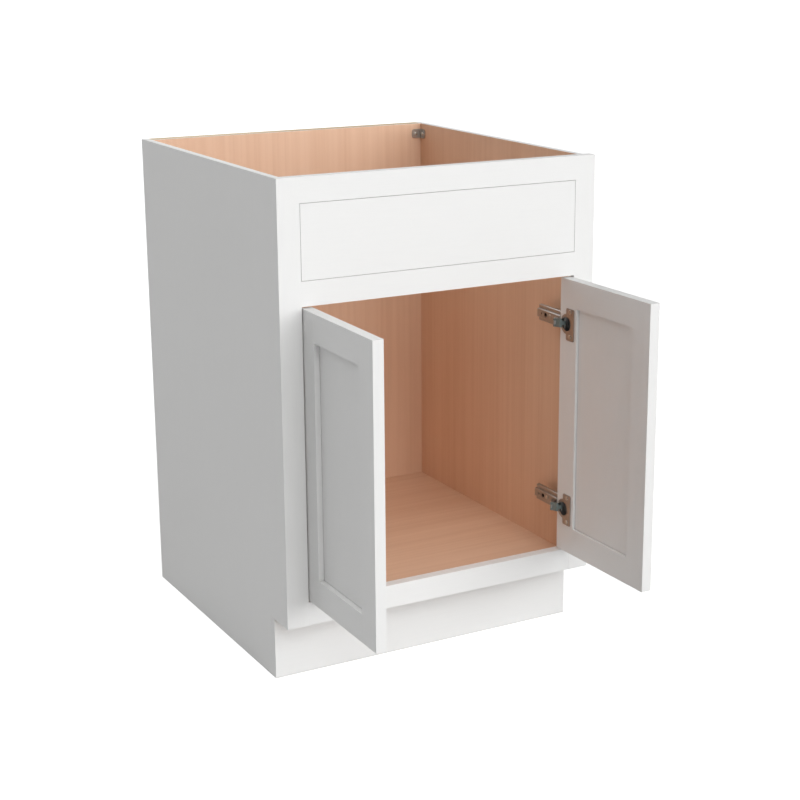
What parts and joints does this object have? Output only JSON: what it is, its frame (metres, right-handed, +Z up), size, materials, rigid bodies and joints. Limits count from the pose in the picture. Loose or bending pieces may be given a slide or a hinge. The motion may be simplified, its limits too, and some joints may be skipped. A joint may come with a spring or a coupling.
{
  "type": "vanity sink base cabinet",
  "caption": "White face-frame vanity sink base with an open top, a fixed drawer front, inset panelled doors on concealed cup hinges, a recessed toe space and a maple interior.",
  "frame": {"origin": "on the floor, on the centre line of the face frame, under the middle of the toe board's thickness", "axes": "+Z up, -Y towards the user in front of the doors, +X to that user's right"},
  "size_m": [0.6096, 0.8608, 0.8763],
  "materials": {
    "white_paint": "satin white lacquer on maple",
    "side_panel_ply": "plywood, white lacquer outside and clear varnished maple inside",
    "maple_ply": "clear varnished maple plywood",
    "batten_wood": "bare planed softwood",
    "hinge_steel": "nickel plated pressed steel",
    "link_steel": "zinc plated steel, grey blue",
    "screw_steel": "zinc plated steel",
    "bracket_steel": "zinc plated folded steel"
  },
  "bodies": {
    "case": {"back_panel": "maple_ply", "cabinet_floor": "maple_ply", "corner_bracket_back_left": "bracket_steel", "corner_bracket_back_right": "bracket_steel", "corner_bracket_front_left": "bracket_steel", "corner_bracket_front_right": "bracket_steel", "corner_bracket_screws": "screw_steel", "drawer_front_cleat_left": "batten_wood", "drawer_front_cleat_right": "batten_wood", "drawer_front_screws": "screw_steel", "false_drawer_front": "white_paint", "frame_bottom_rail": "white_paint", "frame_left_stile": "white_paint", "frame_middle_rail": "white_paint", "frame_right_stile": "white_paint", "frame_top_rail": "white_paint", "hinge_adjusting_screws": "screw_steel", "hinge_arm_pins": "screw_steel", "hinge_arm_screws": "screw_steel", "hinge_plate_screws": "screw_steel", "left_lower_hinge_arm": "hinge_steel", "left_lower_hinge_plate": "hinge_steel", "left_side_panel": "side_panel_ply", "left_upper_hinge_arm": "hinge_steel", "left_upper_hinge_plate": "hinge_steel", "lower_hanging_rail": "batten_wood", "right_lower_hinge_arm": "hinge_steel", "right_lower_hinge_plate": "hinge_steel", "right_side_panel": "side_panel_ply", "right_upper_hinge_arm": "hinge_steel", "right_upper_hinge_plate": "hinge_steel", "toe_board": "white_paint", "upper_hanging_rail": "batten_wood"},
    "left_door": {"left_door_bottom_rail": "white_paint", "left_door_hinge_screws": "screw_steel", "left_door_hinge_stile": "white_paint", "left_door_meeting_stile": "white_paint", "left_door_panel": "white_paint", "left_door_top_rail": "white_paint", "left_lower_hinge_cup": "hinge_steel", "left_upper_hinge_cup": "hinge_steel"},
    "left_hinge_links": {"left_lower_hinge_link": "link_steel", "left_upper_hinge_link": "link_steel"},
    "right_door": {"right_door_bottom_rail": "white_paint", "right_door_hinge_screws": "screw_steel", "right_door_hinge_stile": "white_paint", "right_door_meeting_stile": "white_paint", "right_door_panel": "white_paint", "right_door_top_rail": "white_paint", "right_lower_hinge_cup": "hinge_steel", "right_upper_hinge_cup": "hinge_steel"},
    "right_hinge_links": {"right_lower_hinge_link": "link_steel", "right_upper_hinge_link": "link_steel"}
  },
  "joints": [
    {"name": "left_door_swing", "type": "hinge", "parent": "case", "child": "left_door", "pos_m": [-0.2578, -0.05605, 0], "axis": [0, 0, -1], "range_deg": [-90.75, 9.25]},
    {"name": "right_door_swing", "type": "hinge", "parent": "case", "child": "right_door", "pos_m": [0.2578, -0.05605, 0], "axis": [0, 0, 1], "range_deg": [-90.75, 9.25]},
    {"name": "left_link_turn", "type": "hinge", "parent": "case", "child": "left_hinge_links", "pos_m": [-0.2338, -0.04935, 0], "axis": [0, 0, 1], "range_deg": [-54.8, 5.6]},
    {"name": "right_link_turn", "type": "hinge", "parent": "case", "child": "right_hinge_links", "pos_m": [0.2338, -0.04935, 0], "axis": [0, 0, -1], "range_deg": [-54.8, 5.6]}
  ],
  "couplings": [
    {"joint": "left_link_turn", "follows": "left_door_swing", "ratio": 0.6035},
    {"joint": "right_link_turn", "follows": "right_door_swing", "ratio": 0.6035}
  ]
}
